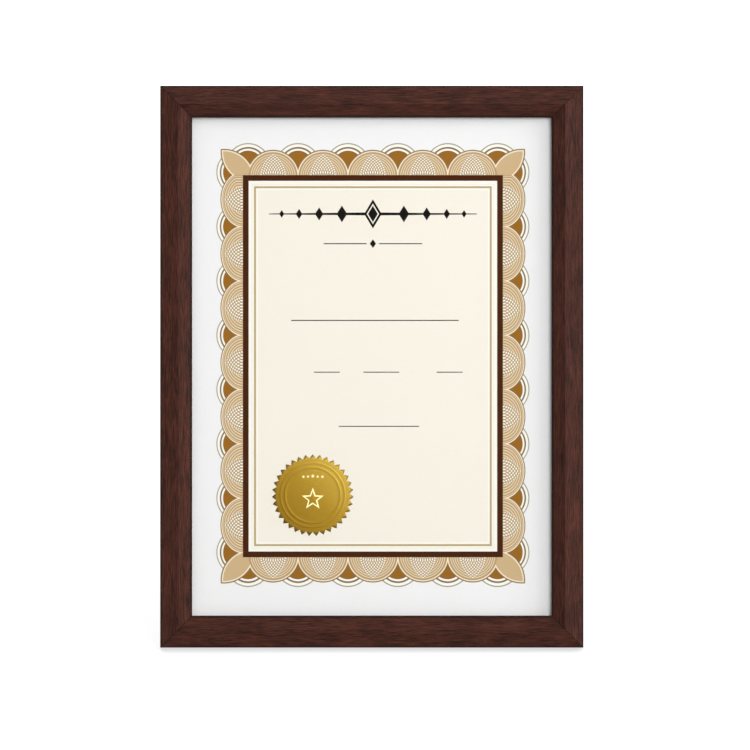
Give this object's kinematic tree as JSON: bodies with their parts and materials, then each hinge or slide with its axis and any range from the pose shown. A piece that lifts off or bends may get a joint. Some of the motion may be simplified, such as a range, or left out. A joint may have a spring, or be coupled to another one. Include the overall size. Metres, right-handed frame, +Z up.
{
  "type": "certificate frame",
  "caption": "Portrait certificate frame: mitred wood moulding round a glazed printed sheet, with turn buttons, hanging rings and a hinged easel leg behind.",
  "frame": {"origin": "centre of the footprint on the table: midway across the face, midway between the front of the mouldings and the foot of the leg, at table level", "axes": "+Z up; the face looks along -Y, leaning back 13.8 degrees; +X to the viewer's right"},
  "size_m": [0.232, 0.096, 0.3019],
  "materials": {
    "moulding": "dark red-brown stained and satin-lacquered moulding with a fine grain",
    "glass": "clear float glass",
    "sheet": "smooth white paper with a printed border and cream panel",
    "foil": "embossed gold foil",
    "card": "plain grey-brown card",
    "board": "hardboard faced with black leather-grain paper, brown at its cut edges",
    "leg": "hardboard faced with black leather-grain paper, brown at its cut edges",
    "button_steel": "bright zinc-plated stamped steel",
    "screw_steel": "bright zinc-plated steel",
    "hinge_steel": "nickel-plated sheet steel",
    "pin_steel": "drawn steel wire",
    "rivet_steel": "nickel-plated steel, domed and polished",
    "ring_steel": "nickel-plated round wire",
    "nail_steel": "bare steel strip"
  },
  "bodies": {
    "frame": {"rail_bottom": "moulding", "rail_top": "moulding", "rail_left": "moulding", "rail_right": "moulding", "corner_nails": "nail_steel", "glass": "glass", "certificate_sheet": "sheet", "foil_seal": "foil", "packing_card": "card", "backing_board": "board", "turn_button_screws": "screw_steel", "hinge_board_leaf": "hinge_steel", "hinge_pin": "pin_steel", "hinge_board_rivets": "rivet_steel", "hanger_strap_portrait": "hinge_steel", "hanger_strap_landscape": "hinge_steel", "hanger_rivets": "rivet_steel"},
    "leg": {"easel_leg": "leg", "hinge_leg_leaf": "hinge_steel", "hinge_leg_rivets": "rivet_steel"},
    "button_top_left": {"turn_button_top_left": "button_steel"},
    "button_top_right": {"turn_button_top_right": "button_steel"},
    "button_bottom_left": {"turn_button_bottom_left": "button_steel"},
    "button_bottom_right": {"turn_button_bottom_right": "button_steel"},
    "button_left_upper": {"turn_button_left_upper": "button_steel"},
    "button_left_lower": {"turn_button_left_lower": "button_steel"},
    "button_right_upper": {"turn_button_right_upper": "button_steel"},
    "button_right_lower": {"turn_button_right_lower": "button_steel"},
    "portrait_ring": {"hanger_ring_portrait": "ring_steel"},
    "landscape_ring": {"hanger_ring_landscape": "ring_steel"}
  },
  "joints": [
    {"name": "leg_fold", "type": "hinge", "parent": "frame", "child": "leg", "pos_m": [0, 0.01262, 0.18987], "axis": [1, 0, 0], "range_deg": [-24, 0]},
    {"name": "turn_top_left", "type": "hinge", "parent": "frame", "child": "button_top_left", "pos_m": [-0.062, 0.03722, 0.29596], "axis": [0, 0.9713, -0.238], "range_deg": [-90, 90]},
    {"name": "turn_top_right", "type": "hinge", "parent": "frame", "child": "button_top_right", "pos_m": [0.062, 0.03722, 0.29596], "axis": [0, 0.9713, -0.238], "range_deg": [-90, 90]},
    {"name": "turn_bottom_left", "type": "hinge", "parent": "frame", "child": "button_bottom_left", "pos_m": [-0.062, -0.0346, 0.00283], "axis": [0, 0.9713, -0.238], "range_deg": [-90, 90]},
    {"name": "turn_bottom_right", "type": "hinge", "parent": "frame", "child": "button_bottom_right", "pos_m": [0.062, -0.0346, 0.00283], "axis": [0, 0.9713, -0.238], "range_deg": [-90, 90]},
    {"name": "turn_left_upper", "type": "hinge", "parent": "frame", "child": "button_left_upper", "pos_m": [-0.1129, 0.0213, 0.23098], "axis": [0, 0.9713, -0.238], "range_deg": [-90, 90]},
    {"name": "turn_left_lower", "type": "hinge", "parent": "frame", "child": "button_left_lower", "pos_m": [-0.1129, -0.01868, 0.06781], "axis": [0, 0.9713, -0.238], "range_deg": [-90, 90]},
    {"name": "turn_right_upper", "type": "hinge", "parent": "frame", "child": "button_right_upper", "pos_m": [0.1129, 0.0213, 0.23098], "axis": [0, 0.9713, -0.238], "range_deg": [-90, 90]},
    {"name": "turn_right_lower", "type": "hinge", "parent": "frame", "child": "button_right_lower", "pos_m": [0.1129, -0.01868, 0.06781], "axis": [0, 0.9713, -0.238], "range_deg": [-90, 90]},
    {"name": "portrait_ring_swing", "type": "hinge", "parent": "frame", "child": "portrait_ring", "pos_m": [0, 0.02934, 0.2599], "axis": [1, 0, 0], "range_deg": [-13.77, 166.23]},
    {"name": "landscape_ring_swing", "type": "hinge", "parent": "frame", "child": "landscape_ring", "pos_m": [0.076, 0.00221, 0.14917], "axis": [0, -0.238, -0.9713], "range_deg": [0, 180]}
  ]
}
